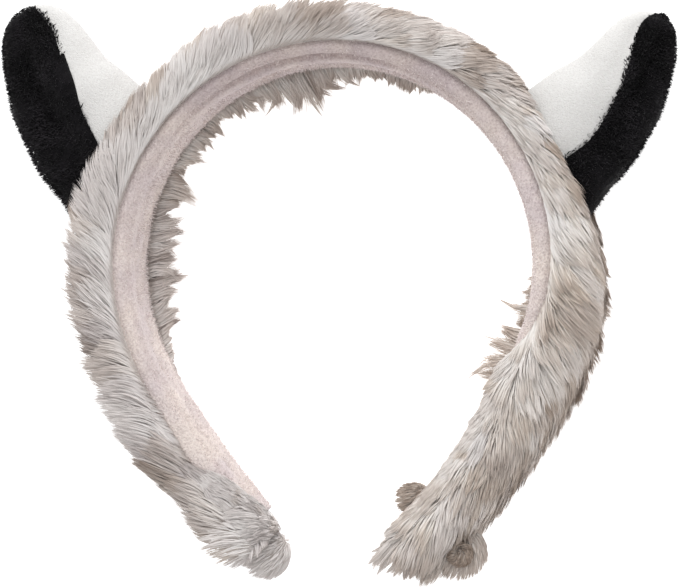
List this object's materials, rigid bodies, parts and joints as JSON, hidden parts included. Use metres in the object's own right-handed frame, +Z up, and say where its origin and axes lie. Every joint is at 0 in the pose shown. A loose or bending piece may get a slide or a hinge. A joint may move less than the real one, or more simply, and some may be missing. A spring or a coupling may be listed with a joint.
{
  "type": "animal ear headband",
  "caption": "Fur-covered padded headband, a plush lining round its inside and two padded ears standing out of its crown, with the ends open below.",
  "frame": {"origin": "middle of the plan, on the surface that the headband lies on", "axes": "+Z up from that surface through the band's width, +X along the part's longest side from the left ear to the right one, +Y from the open ends towards the crown"},
  "size_m": [0.216, 0.1876, 0.0343],
  "materials": {
    "long_fur": "long matt faux fur, mottled warm grey",
    "lining_plush": "short speckled plush",
    "black_plush": "short matt plush",
    "white_plush": "short smooth plush"
  },
  "bodies": {
    "root": {"fur_cover": "long_fur", "lining": "lining_plush", "ear_black_left": "black_plush", "ear_black_right": "black_plush", "ear_white_left": "white_plush", "ear_white_right": "white_plush"}
  },
  "joints": []
}
